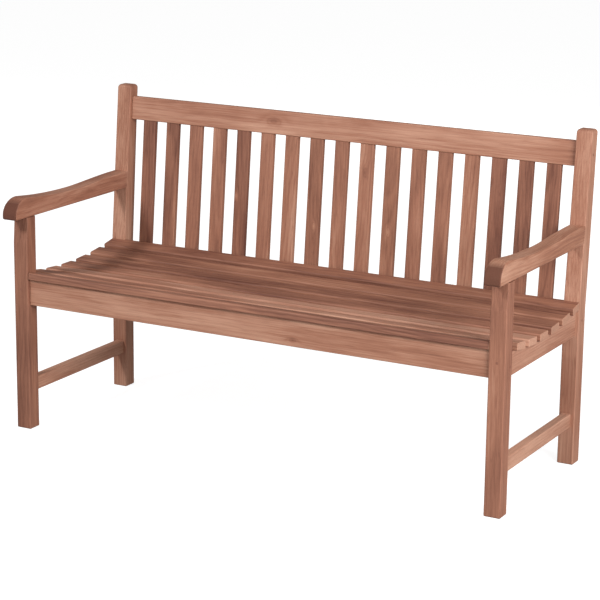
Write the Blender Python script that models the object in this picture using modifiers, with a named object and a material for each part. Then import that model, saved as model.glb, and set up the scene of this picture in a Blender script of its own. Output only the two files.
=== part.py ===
"""Garden bench: a three-seat teak bench with scrolled arms, a dished slatted seat and a slatted back.

Frame: origin on the floor, under the middle of the bench's bounding box; +X to the right as seen from
the front, +Y to the back, +Z up. The pieces are parented to an empty at the front face of the front
legs, so inside this script y is the depth behind that face. The pieces of the back are parented to a
second empty at the knee of the rear posts, which leans with them. Left and right are as seen from the
front: side is -1 on the left and 1 on the right.
"""

import math

import bmesh
import bpy
from mathutils import Vector

# Overall sizes, in metres.
LENGTH = 1.500  # over the outer faces of the legs
FOOT_DEPTH = 0.540  # front of a front leg to the back of a rear post, on the floor
HEIGHT = 0.920  # top of the rear posts
ARM_UNDERSIDE = 0.615  # top of the front legs, where the arms lie
SEAT_HEIGHT = 0.433  # lowest line of the dished seat

# Legs and posts.
LEG_WIDTH = 0.046
FRONT_LEG_DEPTH = 0.044
FRONT_LEG_SLOPE = 0.075  # height of the sloping stretch at the top of the front face
FRONT_LEG_SET_BACK = 0.006  # how far that stretch goes back
POST_DEPTH = 0.0455
KNEE_HEIGHT = 0.465  # where the front face of a post starts to lean
BACK_KNEE_HEIGHT = 0.430  # where its back face does
LEAN = math.radians(5.0)  # front faces of the posts, and the whole back
POST_BACK_LEAN = math.radians(3.95)
POST_TOP_ROUND = 0.009

# Seat.
RAIL_THICKNESS = 0.026  # side rails, stretchers and centre bearer
SIDE_RAIL_HEIGHT = 0.0495  # at the lowest line of the dish
SIDE_RAIL_SET_IN = 0.009  # outer face of a side rail, behind the outer face of the legs
FRONT_RAIL_THICKNESS = 0.024
FRONT_RAIL_SET_BACK = 0.010
BEARER_RAISE = 0.006  # underside of the centre bearer, above that of the rails
SEAT_SLATS = 7
SEAT_SLAT_GAP = 0.0235  # between two slats, at their undersides
SEAT_SLAT_THICKNESS = 0.020
SEAT_SLAT_SET_IN = 0.0005  # ends of the slats, inside the outer faces of the legs
FRONT_SLAT_END_GAP = 0.001  # each end of the front slat to its leg
DISH_RADIUS = 1.170  # of the seat's top surface
DISH_DEPTH = 0.250  # lowest line of the dish, behind the front

# Back.
BACK_RAIL_THICKNESS = 0.024
BACK_RAIL_SET_BACK = 0.011  # behind the front faces of the posts
BACK_TENON_OFFSET = 0.006  # rear rail's tenons behind its middle, top rail's ahead of it
REAR_RAIL_HEIGHT = 0.068
TOP_RAIL_HEIGHT = 0.069
TOP_RAIL_DROP = 0.032  # top edge of the top rail, below the top of the posts
BACK_SLATS = 17
BACK_SLAT_WIDTH = 0.0415
BACK_SLAT_THICKNESS = 0.015
BACK_SLAT_SET_BACK = 0.014  # behind the front faces of the posts
BACK_END_GAP = 0.041  # between a post and the nearest slat

# Arms and side stretchers.
ARM_OVERHANG = 0.049  # nose of an arm, ahead of the front legs
ARM_LIP_THICKNESS = 0.013  # upright front of the nose, under its round
ARM_CREST_DEPTH = 0.010  # highest line of the nose, behind the front of the legs
ARM_NOSE_THICKNESS = 0.057  # at that line
ARM_NECK_THICKNESS = 0.0475  # a third of the way from there to the dip
ARM_DIP_THICKNESS = 0.0415  # halfway from the crest to the post
ARM_HEEL_THICKNESS = 0.0475  # halfway from the dip to the post
ARM_REAR_THICKNESS = 0.050  # at the post
STRETCHER_UNDERSIDE = 0.105
STRETCHER_HEIGHT = 0.0395
STRETCHER_SET_IN = 0.012

# Joinery.
FIT_GAP = 0.0003  # between any two pieces that meet
SEAT_BACK_GAP = 0.001  # rearmost seat slat to the back slats
TENON_THICKNESS = 0.010
FRONT_RAIL_TENON = 0.032  # tenon lengths
FRONT_RAIL_TENON_THICKNESS = 0.009
FRONT_RAIL_TENON_SET_BACK = 0.002  # behind the front face of the rail
STRETCHER_TENON = 0.020
BACK_RAIL_TENON = 0.032
BACK_SLAT_TENON = 0.012
BEARER_TENON = 0.012
ARM_TENON = 0.020
LEG_TENON = 0.025
MORTISE_WALL = 0.004  # wood between two mortises that come near each other
TENON_SHOULDER = 0.010  # above and below the tenon of a rail
SLAT_SHOULDER = 0.0035  # at each side of the tenon of a back slat
PEG_RADIUS = 0.004
PEG_PAST = 0.0015  # how far a peg goes past the tenon that it crosses
PEG_SHARE = 0.6  # where a peg crosses a side rail's tenon, from the shoulder to the tip
FRONT_PEG_RAISE = 0.0445  # pegs of the front rail, above the undersides of the rails
SIDE_PEG_RAISE = 0.0305  # pegs of the side rails, above the undersides of the rails
END_PEG_REACH = 0.004  # pegs in the ends of the back's rails, past the inner faces of the posts
PEG_SIDES = 16

# Edges and cutting.
EDGE_ROUND = 0.0025
SLAT_ROUND = 0.004
ARM_ROUND = 0.005
BACK_SLAT_ROUND = 0.0015
ARC_STEPS = 20  # straight runs in an arc along the dish
CORNER_STEPS = 4  # and in a quarter circle
CUT_PAST = 0.002  # how far a cutter stands out of the face that it enters
TENON_ROOT = 0.004  # how far a tenon's block reaches into its rail
SHARP = math.radians(30)
FLAT = math.radians(0.2)  # faces that meet at less than this become one

# Worked out from the sizes above.
HALF_LENGTH = LENGTH / 2
INNER_HALF = HALF_LENGTH - LEG_WIDTH
LEG_MIDDLE = HALF_LENGTH - LEG_WIDTH / 2
POST_FRONT = FOOT_DEPTH - POST_DEPTH
BACK_REACH = (HEIGHT - POST_TOP_ROUND - BACK_KNEE_HEIGHT) * math.tan(POST_BACK_LEAN)
OVERALL_DEPTH = ARM_OVERHANG + FOOT_DEPTH + BACK_REACH
FRONT_FACE = ARM_OVERHANG - OVERALL_DEPTH / 2
DISH_CENTRE = SEAT_HEIGHT + DISH_RADIUS
SLAT_CORNER_RADIUS = DISH_RADIUS + SEAT_SLAT_THICKNESS  # of the arc that the slats' lower corners lie on
SEAT_RAIL_RADIUS = SLAT_CORNER_RADIUS + FIT_GAP
RAIL_UNDERSIDE = SEAT_HEIGHT - SEAT_SLAT_THICKNESS - SIDE_RAIL_HEIGHT
BEARER_UNDERSIDE = RAIL_UNDERSIDE + BEARER_RAISE
FRONT_TENON_FRONT = FRONT_RAIL_SET_BACK + FRONT_RAIL_TENON_SET_BACK
FRONT_TENON_BACK = FRONT_TENON_FRONT + FRONT_RAIL_TENON_THICKNESS
SIDE_RAIL_FRONT_TENON = FRONT_LEG_DEPTH - FRONT_TENON_BACK - MORTISE_WALL
REAR_TENON_FRONT = BACK_RAIL_SET_BACK + BACK_RAIL_THICKNESS / 2 + BACK_TENON_OFFSET - TENON_THICKNESS / 2

RIGHT, BACK, UP = Vector((1, 0, 0)), Vector((0, 1, 0)), Vector((0, 0, 1))

TEAK = {
    "front_leg": (0.43, 0.20, 0.12, 1.0),
    "rear_post": (0.40, 0.19, 0.11, 1.0),
    "arm": (0.42, 0.21, 0.13, 1.0),
    "rail": (0.45, 0.22, 0.14, 1.0),
    "seat_slat": (0.38, 0.18, 0.11, 1.0),
    "back_slat": (0.35, 0.16, 0.10, 1.0),
    "peg": (0.20, 0.09, 0.05, 1.0),
}


def post_front(height):
    """Depth of a post's leaning front face at this height."""
    return POST_FRONT + (height - KNEE_HEIGHT) * math.tan(LEAN)


def post_back(height):
    """Depth of a post's leaning back face at this height."""
    return FOOT_DEPTH + (height - BACK_KNEE_HEIGHT) * math.tan(POST_BACK_LEAN)


def leaning_plane(set_back, height):
    """Depth, at this height, of the plane that lies set_back behind the posts' leaning faces."""
    return post_front(height) + set_back / math.cos(LEAN)


def arc_height(radius, depth):
    """Height at this depth of the arc of this radius about the dish's axis."""
    return DISH_CENTRE - math.sqrt(radius**2 - (depth - DISH_DEPTH) ** 2)


def arc_points(radius, start, end):
    """(depth, height) points along that arc, from one depth to another."""
    depths = [start + (end - start) * i / ARC_STEPS for i in range(ARC_STEPS + 1)]
    return [(depth, arc_height(radius, depth)) for depth in depths]


def corner_points(depth, height, radius, start):
    """(depth, height) points along a quarter circle about a centre, anticlockwise from this angle."""
    turns = [start + math.pi / 2 * i / CORNER_STEPS for i in range(CORNER_STEPS + 1)]
    return [(depth + radius * math.cos(turn), height + radius * math.sin(turn)) for turn in turns]


def seat_slat_layout():
    """How the seat slats share the dish: the tilt of each, and the angle that each takes up.

    The first one's lower corner is just behind the front, the last one's just ahead of the back slats.
    """
    height = arc_height(SLAT_CORNER_RADIUS, POST_FRONT)
    seat_back = leaning_plane(BACK_SLAT_SET_BACK, height) - SEAT_BACK_GAP
    first = math.asin((FIT_GAP - DISH_DEPTH) / SLAT_CORNER_RADIUS)
    last = math.asin((seat_back - DISH_DEPTH) / SLAT_CORNER_RADIUS)
    gap = SEAT_SLAT_GAP / SLAT_CORNER_RADIUS
    share = (last - first - gap * (SEAT_SLATS - 1)) / SEAT_SLATS
    return [first + share / 2 + (share + gap) * i for i in range(SEAT_SLATS)], share


def slat_underside(tilt, depth):
    """Height, at this depth, of the underside of the seat slat with this tilt."""
    _, share = seat_slat_layout()
    radius = SLAT_CORNER_RADIUS * math.cos(share / 2)
    middle_depth = DISH_DEPTH + radius * math.sin(tilt)
    return DISH_CENTRE - radius * math.cos(tilt) + (depth - middle_depth) * math.tan(tilt)


def clear_scene():
    """Removes what the startup scene holds."""
    for thing in list(bpy.data.objects):
        bpy.data.objects.remove(thing, do_unlink=True)


def new_collection(name):
    """A collection linked to the scene."""
    collection = bpy.data.collections.new(name)
    bpy.context.scene.collection.children.link(collection)
    return collection


def new_material(name, colour):
    """Oiled teak, or the darker end of a peg, as a Principled BSDF."""
    material = bpy.data.materials.new("teak_" + name)
    material.use_nodes = True
    surface = material.node_tree.nodes["Principled BSDF"]
    surface.inputs["Base Color"].default_value = colour
    surface.inputs["Roughness"].default_value = 0.6
    surface.inputs["Metallic"].default_value = 0.0
    return material


def new_empty(name, place, tilt=0.0, parent=None):
    """An empty that other pieces are placed from, turned by tilt about X."""
    empty = bpy.data.objects.new(name, None)
    BENCH.objects.link(empty)
    empty.location = place
    empty.rotation_euler.x = tilt
    empty.parent = parent
    return empty


def new_piece(name, mesh, parent, kind):
    """A visible piece of the bench, of this kind of wood."""
    piece = bpy.data.objects.new(name, mesh)
    BENCH.objects.link(piece)
    piece.parent = parent
    mesh.materials.append(MATERIALS[kind])
    return piece


def new_helper(name, mesh, parent):
    """A block that a Boolean adds or cuts, which isn't rendered."""
    helper = bpy.data.objects.new(name, mesh)
    CUTTERS.objects.link(helper)
    helper.parent = parent
    helper.hide_render = True
    helper.display_type = "WIRE"
    return helper


def block_mesh(name, size):
    """A box of this size about its own centre."""
    mesh = bpy.data.meshes.new(name)
    work = bmesh.new()
    bmesh.ops.create_cube(work, size=1.0)
    bmesh.ops.scale(work, vec=size, verts=work.verts)
    work.to_mesh(mesh)
    work.free()
    return mesh


def block(name, low, high, parent, kind=None):
    """A box between two corners: a piece of this kind of wood, or a helper if kind is None."""
    low, high = Vector(map(min, low, high)), Vector(map(max, low, high))
    mesh = block_mesh(name, high - low)
    made = new_piece(name, mesh, parent, kind) if kind else new_helper(name, mesh, parent)
    made.location = (low + high) / 2
    return made


def rod(name, start, end, radius, parent, kind=None):
    """A round rod between two points: a peg, or a drill if kind is None."""
    start, end = Vector(start), Vector(end)
    mesh = bpy.data.meshes.new(name)
    work = bmesh.new()
    bmesh.ops.create_cone(
        work, cap_ends=True, segments=PEG_SIDES, radius1=radius, radius2=radius, depth=(end - start).length
    )
    work.to_mesh(mesh)
    work.free()
    if kind:
        mesh.shade_smooth()
        mesh.set_sharp_from_angle(angle=SHARP)
    made = new_piece(name, mesh, parent, kind) if kind else new_helper(name, mesh, parent)
    made.location = (start + end) / 2
    made.rotation_euler = (end - start).to_track_quat("Z", "Y").to_euler()
    return made


def profile_board(name, outline, left, right, kind):
    """A board cut to a side profile, between two places along X.

    outline is a list of (depth, height) for straight runs and worked-out arcs, or of (depth, height,
    smooth) for a drawn curve, where smooth says whether the outline runs through the point without a
    corner.
    """
    curve = bpy.data.curves.new(name, "CURVE")
    curve.dimensions = "2D"
    curve.fill_mode = "BOTH"
    curve.extrude = abs(right - left) / 2
    curve.resolution_u = 8
    drawn_curve = len(outline[0]) == 3
    spline = curve.splines.new("BEZIER" if drawn_curve else "POLY")
    spline.use_cyclic_u = True
    if drawn_curve:
        spline.bezier_points.add(len(outline) - 1)
        for point, (depth, height, smooth) in zip(spline.bezier_points, outline):
            point.co = (depth, height, 0)
            point.handle_left_type = point.handle_right_type = "AUTO" if smooth else "VECTOR"
    else:
        spline.points.add(len(outline) - 1)
        for point, (depth, height) in zip(spline.points, outline):
            point.co = (depth, height, 0, 1)
    drawn = bpy.data.objects.new(name + "_outline", curve)
    BENCH.objects.link(drawn)
    drawn.parent = BASE
    drawn.location = ((left + right) / 2, 0, 0)
    drawn.rotation_euler = (math.pi / 2, 0, math.pi / 2)
    bpy.context.view_layer.update()
    mesh = bpy.data.meshes.new_from_object(drawn.evaluated_get(bpy.context.evaluated_depsgraph_get()))
    mesh.name = name
    mesh.materials.clear()
    work = bmesh.new()
    work.from_mesh(mesh)
    bmesh.ops.remove_doubles(work, verts=work.verts, dist=0.00001)
    bmesh.ops.dissolve_limit(work, angle_limit=FLAT, verts=work.verts, edges=work.edges)
    bmesh.ops.recalc_face_normals(work, faces=work.faces)
    work.to_mesh(mesh)
    work.free()
    board = new_piece(name, mesh, BASE, kind)
    board.matrix_world = drawn.matrix_world
    bpy.data.objects.remove(drawn, do_unlink=True)
    return board


def round_edges(piece, width, chosen, segments=2):
    """Rounds the sharp edges that chosen(middle, direction) picks, in the piece's own coordinates.

    A profile board's own coordinates are depth, height and the place along X, in that order.
    """
    work = bmesh.new()
    work.from_mesh(piece.data)
    weight = work.edges.layers.float.new("bevel_weight_edge")
    for edge in work.edges:
        start, end = (vert.co for vert in edge.verts)
        if edge.calc_face_angle() > SHARP and chosen((start + end) / 2, (end - start).normalized()):
            edge[weight] = 1.0
    work.to_mesh(piece.data)
    work.free()
    bevel = piece.modifiers.new("rounded_edges", "BEVEL")
    bevel.limit_method = "WEIGHT"
    bevel.width = width
    bevel.segments = segments


def runs_along(axis):
    """Picks the edges that run along one of the piece's own axes."""
    return lambda middle, direction: abs(direction[axis]) > 0.7


def combine(piece, operation, helper):
    """Adds a Boolean of the helper to the piece."""
    boolean = piece.modifiers.new(helper.name, "BOOLEAN")
    boolean.operation = operation
    boolean.solver = "EXACT"
    boolean.object = helper


def stretched(low, high, shift):
    """The corners of the box that holds low..high and the same box moved by shift."""
    return Vector(map(min, low, low + shift)), Vector(map(max, high, high + shift))


def tenon_joint(rail, post, low, high, root, parent):
    """Tenons the rail into the post.

    low and high are the corners of the tenon inside the post, and root is the direction from its tip
    back to the rail. The mortise is the same box with FIT_GAP round it.
    """
    low, high = Vector(map(min, low, high)), Vector(map(max, low, high))
    name = rail.name + "_in_" + post.name
    tenon = block(name + "_tenon", *stretched(low, high, root * TENON_ROOT), parent)
    combine(rail, "UNION", tenon)
    gap = Vector((FIT_GAP,) * 3)
    mortise = block(name + "_mortise", *stretched(low - gap, high + gap, root * CUT_PAST), parent)
    combine(post, "DIFFERENCE", mortise)


def drive_peg(name, start, end, drilled, parent):
    """A peg from the face at start to its blind end, and its hole through the drilled pieces."""
    start, end = Vector(start), Vector(end)
    along = (end - start).normalized()
    rod(name, start, end, PEG_RADIUS, parent, "peg")
    mouth, bottom = start - along * CUT_PAST, end + along * FIT_GAP
    drill = rod(name + "_drill", mouth, bottom, PEG_RADIUS + FIT_GAP, parent)
    for piece in drilled:
        combine(piece, "DIFFERENCE", drill)


def side_name(side):
    """The name of a side of the bench."""
    return "left" if side < 0 else "right"


def make_front_leg(side):
    """A front leg: its front face slopes back just under the arm, and a tenon stands on its top."""
    outline = [
        (0, 0),
        (FRONT_LEG_DEPTH, 0),
        (FRONT_LEG_DEPTH, ARM_UNDERSIDE),
        (FRONT_LEG_SET_BACK, ARM_UNDERSIDE),
        (0, ARM_UNDERSIDE - FRONT_LEG_SLOPE),
    ]
    name = "front_leg_" + side_name(side)
    leg = profile_board(name, outline, side * INNER_HALF, side * HALF_LENGTH, "front_leg")
    round_edges(leg, EDGE_ROUND, lambda middle, _: middle.y < ARM_UNDERSIDE - EDGE_ROUND)
    return leg


def make_rear_post(side):
    """A rear post: upright to its knee, then leaning back and growing thinner, with a rounded top."""
    shoulder = HEIGHT - POST_TOP_ROUND
    outline = [
        (POST_FRONT, 0),
        (FOOT_DEPTH, 0),
        (FOOT_DEPTH, BACK_KNEE_HEIGHT),
        *corner_points(post_back(shoulder) - POST_TOP_ROUND, shoulder, POST_TOP_ROUND, 0),
        *corner_points(post_front(shoulder) + POST_TOP_ROUND, shoulder, POST_TOP_ROUND, math.pi / 2),
        (POST_FRONT, KNEE_HEIGHT),
    ]
    name = "rear_post_" + side_name(side)
    post = profile_board(name, outline, side * INNER_HALF, side * HALF_LENGTH, "rear_post")
    round_edges(post, EDGE_ROUND, lambda middle, direction: True)
    return post


def make_arm(side, leg, post):
    """An arm: flat underneath, rolled over at the nose, dipped behind it, tenoned to the post and leg."""
    underside = ARM_UNDERSIDE + FIT_GAP
    rear_top = underside + ARM_REAR_THICKNESS
    end = FIT_GAP / math.cos(LEAN)
    lip = underside + ARM_LIP_THICKNESS
    dip = (ARM_CREST_DEPTH + post_front(rear_top)) / 2
    neck = ARM_CREST_DEPTH + (dip - ARM_CREST_DEPTH) / 3
    heel = (dip + post_front(rear_top)) / 2
    reach, rise = ARM_CREST_DEPTH + ARM_OVERHANG, ARM_NOSE_THICKNESS - ARM_LIP_THICKNESS
    roll = [
        (ARM_CREST_DEPTH - reach * math.cos(turn), lip + rise * math.sin(turn), True)
        for turn in (math.radians(30), math.radians(60))
    ]
    outline = [
        (post_front(underside) - end, underside, False),
        (-ARM_OVERHANG, underside, False),
        (-ARM_OVERHANG, lip, False),
        *roll,
        (ARM_CREST_DEPTH, underside + ARM_NOSE_THICKNESS, True),
        (neck, underside + ARM_NECK_THICKNESS, True),
        (dip, underside + ARM_DIP_THICKNESS, True),
        (heel, underside + ARM_HEEL_THICKNESS, True),
        (post_front(rear_top) - end, rear_top, False),
    ]
    name = "arm_" + side_name(side)
    arm = profile_board(name, outline, side * INNER_HALF, side * HALF_LENGTH, "arm")
    before_post = post_front(underside) - 2 * ARM_ROUND
    round_edges(arm, ARM_ROUND, lambda middle, along: abs(along.z) < 0.5 and middle.x < before_post, 3)
    middle = side * LEG_MIDDLE
    half = LEG_WIDTH / 2 - TENON_SHOULDER
    tenon_joint(
        arm,
        post,
        (middle - half, post_front(rear_top) - CUT_PAST, underside + TENON_SHOULDER),
        (middle + half, post_front(underside) + ARM_TENON, rear_top - TENON_SHOULDER),
        -BACK,
        BASE,
    )
    tenon_joint(
        leg,
        arm,
        (middle - half, FRONT_LEG_SET_BACK + TENON_SHOULDER / 2, ARM_UNDERSIDE),
        (middle + half, FRONT_LEG_DEPTH - TENON_SHOULDER, ARM_UNDERSIDE + LEG_TENON),
        -UP,
        BASE,
    )


def make_side_rail(side, leg, post):
    """A rail from a front leg to a rear post, dished on top to carry the slats."""
    outer = HALF_LENGTH - SIDE_RAIL_SET_IN
    inner = outer - RAIL_THICKNESS
    start, end = FRONT_LEG_DEPTH + FIT_GAP, POST_FRONT - FIT_GAP
    top = arc_points(SEAT_RAIL_RADIUS, start, end)
    outline = [(start, RAIL_UNDERSIDE), (end, RAIL_UNDERSIDE), *reversed(top)]
    rail = profile_board("side_rail_" + side_name(side), outline, side * inner, side * outer, "rail")
    round_edges(rail, EDGE_ROUND / 2, runs_along(0), 1)
    middle = side * (outer + inner) / 2
    low, high = RAIL_UNDERSIDE + TENON_SHOULDER, SEAT_HEIGHT - SEAT_SLAT_THICKNESS - TENON_SHOULDER / 2
    half = TENON_THICKNESS / 2
    rear_tip = leaning_plane(REAR_TENON_FRONT, low) - MORTISE_WALL
    for joined, face, tip, root in (
        (leg, FRONT_LEG_DEPTH, FRONT_LEG_DEPTH - SIDE_RAIL_FRONT_TENON, BACK),
        (post, POST_FRONT, rear_tip, -BACK),
    ):
        tenon_joint(rail, joined, (middle - half, face, low), (middle + half, tip, high), root, BASE)
    place = FRONT_LEG_DEPTH - PEG_SHARE * SIDE_RAIL_FRONT_TENON
    height = RAIL_UNDERSIDE + SIDE_PEG_RAISE
    drive_peg(
        "side_rail_peg_" + side_name(side),
        (side * HALF_LENGTH, place, height),
        (middle - side * (half + PEG_PAST), place, height),
        [leg, rail],
        BASE,
    )


def make_stretcher(side, leg, post):
    """The low rail between a front leg and a rear post."""
    outer = HALF_LENGTH - STRETCHER_SET_IN
    inner = outer - RAIL_THICKNESS
    top = STRETCHER_UNDERSIDE + STRETCHER_HEIGHT
    stretcher = block(
        "side_stretcher_" + side_name(side),
        (side * inner, FRONT_LEG_DEPTH + FIT_GAP, STRETCHER_UNDERSIDE),
        (side * outer, POST_FRONT - FIT_GAP, top),
        BASE,
        "rail",
    )
    round_edges(stretcher, EDGE_ROUND, runs_along(1))
    middle = side * (outer + inner) / 2
    low, high = STRETCHER_UNDERSIDE + TENON_SHOULDER, top - TENON_SHOULDER
    half = TENON_THICKNESS / 2
    for joined, face, tip, root in (
        (leg, FRONT_LEG_DEPTH, FRONT_LEG_DEPTH - STRETCHER_TENON, BACK),
        (post, POST_FRONT, POST_FRONT + STRETCHER_TENON, -BACK),
    ):
        tenon_joint(stretcher, joined, (middle - half, face, low), (middle + half, tip, high), root, BASE)


def make_front_rail(legs):
    """The rail under the front slat, its top planed to the slat's tilt, pegged through the legs' faces."""
    front, back = FRONT_RAIL_SET_BACK, FRONT_RAIL_SET_BACK + FRONT_RAIL_THICKNESS
    tilt = seat_slat_layout()[0][0]
    outline = [
        (front, RAIL_UNDERSIDE),
        (back, RAIL_UNDERSIDE),
        (back, slat_underside(tilt, back) - FIT_GAP),
        (front, slat_underside(tilt, front) - FIT_GAP),
    ]
    reach = INNER_HALF - FIT_GAP
    rail = profile_board("front_rail", outline, -reach, reach, "rail")
    low_edge = RAIL_UNDERSIDE + EDGE_ROUND
    round_edges(rail, EDGE_ROUND, lambda middle, along: abs(along.z) > 0.7 and middle.y < low_edge)
    high = slat_underside(tilt, back) - TENON_SHOULDER
    for side, leg in legs.items():
        tenon_joint(
            rail,
            leg,
            (side * INNER_HALF, FRONT_TENON_FRONT, RAIL_UNDERSIDE + TENON_SHOULDER),
            (side * (INNER_HALF + FRONT_RAIL_TENON), FRONT_TENON_BACK, high),
            -side * RIGHT,
            BASE,
        )
        height = RAIL_UNDERSIDE + FRONT_PEG_RAISE
        drive_peg(
            "front_rail_peg_" + side_name(side),
            (side * LEG_MIDDLE, 0, height),
            (side * LEG_MIDDLE, FRONT_TENON_BACK + PEG_PAST, height),
            [leg, rail],
            BASE,
        )
    return rail


def make_back_rail(name, low, high, tenon_offset, posts):
    """A rail of the back, between two heights up the leaning frame, tenoned and end-pegged to the posts.

    tenon_offset is how far the tenons lie behind the middle of the rail's thickness.
    """
    front, back = BACK_RAIL_SET_BACK, BACK_RAIL_SET_BACK + BACK_RAIL_THICKNESS
    reach = INNER_HALF - FIT_GAP
    rail = block(name, (-reach, front, low), (reach, back, high), LEANING, "rail")
    round_edges(rail, EDGE_ROUND, runs_along(0))
    middle, half = (front + back) / 2 + tenon_offset, TENON_THICKNESS / 2
    for side, post in posts.items():
        tenon_joint(
            rail,
            post,
            (side * INNER_HALF, middle - half, low + TENON_SHOULDER),
            (side * (INNER_HALF + BACK_RAIL_TENON), middle + half, high - TENON_SHOULDER),
            -side * RIGHT,
            LEANING,
        )
        drive_peg(
            name + "_peg_" + side_name(side),
            (side * HALF_LENGTH, middle, (low + high) / 2),
            (side * (INNER_HALF - END_PEG_REACH), middle, (low + high) / 2),
            [post, rail],
            LEANING,
        )
    return rail


def rear_rail_top():
    """How far up the leaning frame the rear rail reaches: its front corner just clears the last slat."""
    tilt = seat_slat_layout()[0][-1]
    set_back = BACK_RAIL_SET_BACK
    depth = POST_FRONT + set_back * math.cos(LEAN)
    under = slat_underside(tilt, depth) - 2 * FIT_GAP
    rise = under - KNEE_HEIGHT + set_back * math.sin(LEAN)
    return rise / (math.cos(LEAN) - math.sin(LEAN) * math.tan(tilt))


def make_bearer(front_rail, rear_rail):
    """The bearer under the middle of the seat, from the front rail to the rear rail."""
    start = FRONT_RAIL_SET_BACK + FRONT_RAIL_THICKNESS + FIT_GAP
    stop = BACK_RAIL_SET_BACK - FIT_GAP
    low_end = leaning_plane(stop, BEARER_UNDERSIDE)
    high_end = leaning_plane(stop, arc_height(SEAT_RAIL_RADIUS, POST_FRONT))
    top = arc_points(SEAT_RAIL_RADIUS, start, high_end)
    outline = [(start, BEARER_UNDERSIDE), (low_end, BEARER_UNDERSIDE), *reversed(top)]
    half = RAIL_THICKNESS / 2
    bearer = profile_board("centre_bearer", outline, -half, half, "rail")
    half = TENON_THICKNESS / 2
    low = BEARER_UNDERSIDE + TENON_SHOULDER
    high = SEAT_HEIGHT - SEAT_SLAT_THICKNESS - TENON_SHOULDER
    face = start - FIT_GAP
    tenon_joint(bearer, front_rail, (-half, face, low), (half, face - BEARER_TENON, high), BACK, BASE)
    face, tip = BACK_RAIL_SET_BACK, BACK_RAIL_SET_BACK + BEARER_TENON
    low, high = low - KNEE_HEIGHT, high - KNEE_HEIGHT
    tenon_joint(bearer, rear_rail, (-half, face, low), (half, tip, high), -BACK, LEANING)


def make_seat_slats():
    """The seat slats along the dish: the front one between the legs, the last notched round the posts."""
    tilts, share = seat_slat_layout()
    half_width, half_thickness = SLAT_CORNER_RADIUS * math.sin(share / 2), SEAT_SLAT_THICKNESS / 2
    radius = SLAT_CORNER_RADIUS * math.cos(share / 2) - half_thickness
    for number, tilt in enumerate(tilts, start=1):
        reach = INNER_HALF - FRONT_SLAT_END_GAP if number == 1 else HALF_LENGTH - SEAT_SLAT_SET_IN
        corner = Vector((reach, half_width, half_thickness))
        slat = block(f"seat_slat_{number}", -corner, corner, BASE, "seat_slat")
        slat.location = (0, DISH_DEPTH + radius * math.sin(tilt), DISH_CENTRE - radius * math.cos(tilt))
        slat.rotation_euler.x = tilt
        round_edges(slat, SLAT_ROUND, lambda middle, along: abs(along.x) > 0.7 and middle.z > 0, 3)
    for side in (-1, 1):
        notch = block(
            "seat_slat_notch_" + side_name(side),
            (side * (INNER_HALF - FRONT_SLAT_END_GAP), POST_FRONT - FIT_GAP, RAIL_UNDERSIDE),
            (side * (HALF_LENGTH + CUT_PAST), FOOT_DEPTH, ARM_UNDERSIDE),
            BASE,
        )
        combine(slat, "DIFFERENCE", notch)


def make_back_slats(rear_rail, top_rail, low, high):
    """The upright slats of the back, tenoned into the rear rail and the top rail."""
    front, back = BACK_SLAT_SET_BACK, BACK_SLAT_SET_BACK + BACK_SLAT_THICKNESS
    half_width = BACK_SLAT_WIDTH / 2
    outermost = INNER_HALF - BACK_END_GAP - half_width
    pitch = 2 * outermost / (BACK_SLATS - 1)
    tenon_front, tenon_back = front + SLAT_SHOULDER / 2, back - SLAT_SHOULDER / 2
    tenon_half = half_width - SLAT_SHOULDER
    for number in range(BACK_SLATS):
        middle = number * pitch - outermost
        slat = block(
            f"back_slat_{number + 1:02d}",
            (middle - half_width, front, low + FIT_GAP),
            (middle + half_width, back, high - FIT_GAP),
            LEANING,
            "back_slat",
        )
        round_edges(slat, BACK_SLAT_ROUND, runs_along(2), 1)
        for rail, face, tip, root in (
            (rear_rail, low, low - BACK_SLAT_TENON, UP),
            (top_rail, high, high + BACK_SLAT_TENON, -UP),
        ):
            tenon_joint(
                slat,
                rail,
                (middle - tenon_half, tenon_front, face),
                (middle + tenon_half, tenon_back, tip),
                root,
                LEANING,
            )


def make_bench():
    """All the pieces, from the legs inwards."""
    legs = {side: make_front_leg(side) for side in (-1, 1)}
    posts = {side: make_rear_post(side) for side in (-1, 1)}
    for side in (-1, 1):
        make_arm(side, legs[side], posts[side])
        make_side_rail(side, legs[side], posts[side])
        make_stretcher(side, legs[side], posts[side])
    front_rail = make_front_rail(legs)
    seat_line = rear_rail_top()
    rear_rail = make_back_rail("rear_rail", seat_line - REAR_RAIL_HEIGHT, seat_line, BACK_TENON_OFFSET, posts)
    top = (HEIGHT - TOP_RAIL_DROP - KNEE_HEIGHT) / math.cos(LEAN)
    top_rail = make_back_rail("top_rail", top - TOP_RAIL_HEIGHT, top, -BACK_TENON_OFFSET, posts)
    make_bearer(front_rail, rear_rail)
    make_seat_slats()
    make_back_slats(rear_rail, top_rail, seat_line, top - TOP_RAIL_HEIGHT)


clear_scene()
BENCH = new_collection("garden_bench")
CUTTERS = new_collection("cutters")
MATERIALS = {kind: new_material(kind, colour) for kind, colour in TEAK.items()}
BASE = new_empty("bench", (0, FRONT_FACE, 0))
bpy.context.view_layer.update()
LEANING = new_empty("back_frame", (0, POST_FRONT, KNEE_HEIGHT), -LEAN, BASE)
bpy.context.view_layer.update()
make_bench()
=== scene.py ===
"""The looks of a teak garden bench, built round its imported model.

Every timber is made again as a planed board with eased edges and is cut from an imagined log, so that
its rings, streaks, knots and end grain run on from face to face. Lengths are in metres. The frame has
+X to the right as seen from the front, +Y to the back and +Z up, with the origin on the ground.
"""

import logging
import math
from dataclasses import dataclass, field
from enum import Enum

import bpy
import numpy as np
from mathutils import Matrix, Vector


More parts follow.
